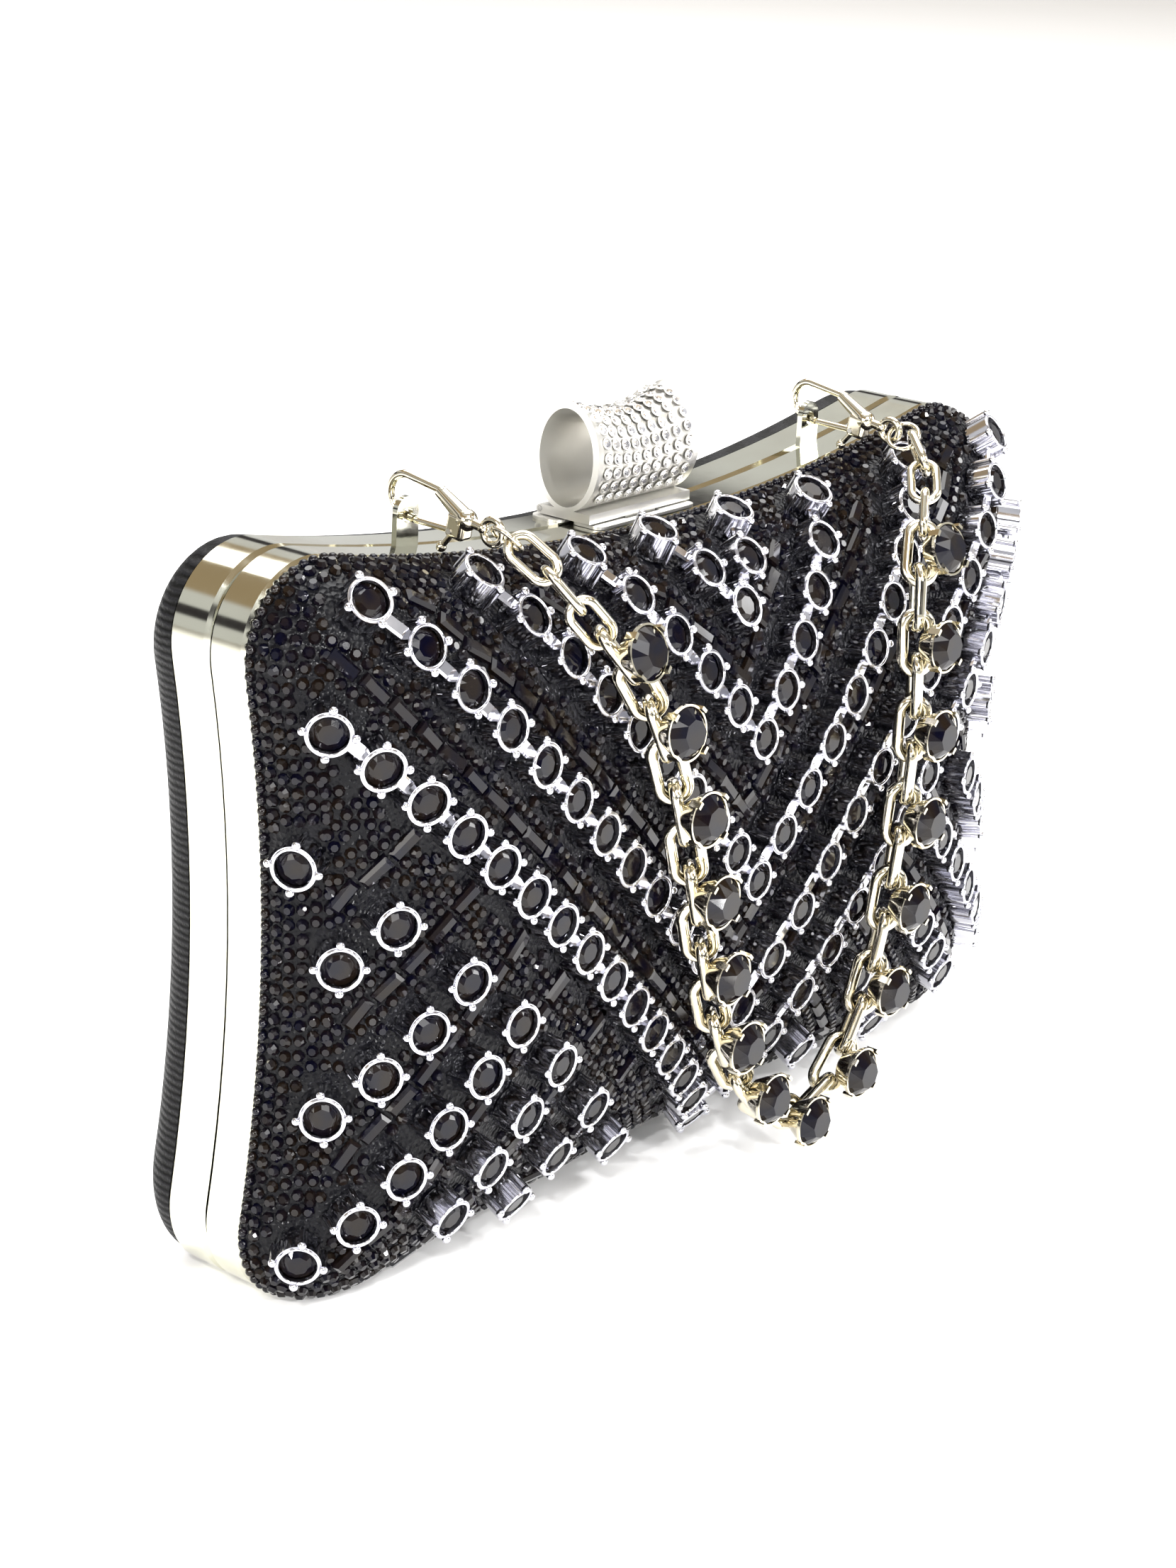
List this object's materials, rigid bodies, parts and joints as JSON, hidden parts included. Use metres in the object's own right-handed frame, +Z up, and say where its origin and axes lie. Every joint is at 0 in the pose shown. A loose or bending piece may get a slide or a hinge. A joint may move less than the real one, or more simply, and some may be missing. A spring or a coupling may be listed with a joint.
{
  "type": "evening bag",
  "caption": "Hard-shell clutch with a metal frame, domed front set with rows of stones, ring-shaped clasp and crystal chain handle.",
  "frame": {"origin": "on the standing plane, under the middle of the whole object's bounding box", "axes": "+X along the bag, -Y towards the decorated front, +Z up"},
  "size_m": [0.1958, 0.0708, 0.132],
  "materials": {
    "frame_metal": "mirror polished, pale gold plating",
    "chain_metal": "polished, pale gold plating",
    "clasp_metal": "polished, pale silver-gold plating",
    "silver_plate": "bright silver plating on moulded settings",
    "steel": "plain",
    "front_cover": "black covering under stones",
    "ribbed_fabric": "moulded shell under black ribbed fabric",
    "satin_lining": "black satin",
    "black_stone": "faceted, polished",
    "clear_stone": "faceted, foil backed"
  },
  "bodies": {
    "front_half": {"front_frame": "frame_metal", "front_shell": "front_cover", "front_lining": "satin_lining", "front_hinge_leaf": "steel", "front_hinge_rivets": "steel", "hinge_pin": "steel", "strike_plate": "clasp_metal", "chain_lug_left": "frame_metal", "chain_lug_right": "frame_metal", "crown_settings_corner_left": "silver_plate", "crown_settings_corner_right": "silver_plate", "crown_settings_v1": "silver_plate", "crown_settings_v2": "silver_plate", "crown_settings_v3": "silver_plate", "crown_settings_v4": "silver_plate", "crown_settings_v5": "silver_plate", "crown_stones_corner_left": "black_stone", "crown_stones_corner_right": "black_stone", "crown_stones_v1": "black_stone", "crown_stones_v2": "black_stone", "crown_stones_v3": "black_stone", "crown_stones_v4": "black_stone", "crown_stones_v5": "black_stone"},
    "rear_half": {"rear_frame": "frame_metal", "rear_shell": "ribbed_fabric", "rear_lining": "satin_lining", "rear_hinge_leaf": "steel", "rear_hinge_rivets": "steel", "latch_base": "clasp_metal", "latch_pin": "steel", "latch_spring": "steel"},
    "clasp": {"clasp_ring": "clasp_metal", "ring_stones": "clear_stone", "latch_hook": "clasp_metal"},
    "chain_handle": {"chain_crystals": "black_stone", "crystal_cups": "chain_metal", "curb_links_left": "chain_metal", "curb_links_middle": "chain_metal", "curb_links_right": "chain_metal", "jump_ring_left": "chain_metal", "jump_ring_right": "chain_metal", "lead_links_left": "chain_metal", "lead_links_right": "chain_metal", "lobster_body_left": "chain_metal", "lobster_body_right": "chain_metal", "lobster_eye_left": "chain_metal", "lobster_eye_right": "chain_metal", "lobster_pin_left": "steel", "lobster_pin_right": "steel", "lobster_spring_left": "steel", "lobster_spring_right": "steel"},
    "lobster_lever_left": {"lobster_lever_left": "chain_metal"},
    "lobster_lever_right": {"lobster_lever_right": "chain_metal"}
  },
  "joints": [
    {"name": "lid_hinge", "type": "hinge", "parent": "front_half", "child": "rear_half", "pos_m": [0, 0.01143, 0.0015], "axis": [-1, 0, 0], "range_deg": [0, 100]},
    {"name": "ring_tilt", "type": "hinge", "parent": "rear_half", "child": "clasp", "pos_m": [0, 0.01703, 0.113], "axis": [-1, 0, 0], "range_deg": [0, 18], "stiffness_Nm_per_rad": 0.08, "springref_deg": -8.59},
    {"name": "chain_swing", "type": "hinge", "parent": "front_half", "child": "chain_handle", "pos_m": [0, 0.01078, 0.1231], "axis": [-1, 0, 0], "range_deg": [0, 150]},
    {"name": "lever_left_press", "type": "hinge", "parent": "chain_handle", "child": "lobster_lever_left", "pos_m": [-0.0535, 0.00051, 0.11955], "axis": [1, 0, 0], "range_deg": [0, 22], "stiffness_Nm_per_rad": 0.002, "springref_deg": -17.19},
    {"name": "lever_right_press", "type": "hinge", "parent": "chain_handle", "child": "lobster_lever_right", "pos_m": [0.0535, 0.00051, 0.11955], "axis": [1, 0, 0], "range_deg": [0, 22], "stiffness_Nm_per_rad": 0.002, "springref_deg": -17.19}
  ]
}
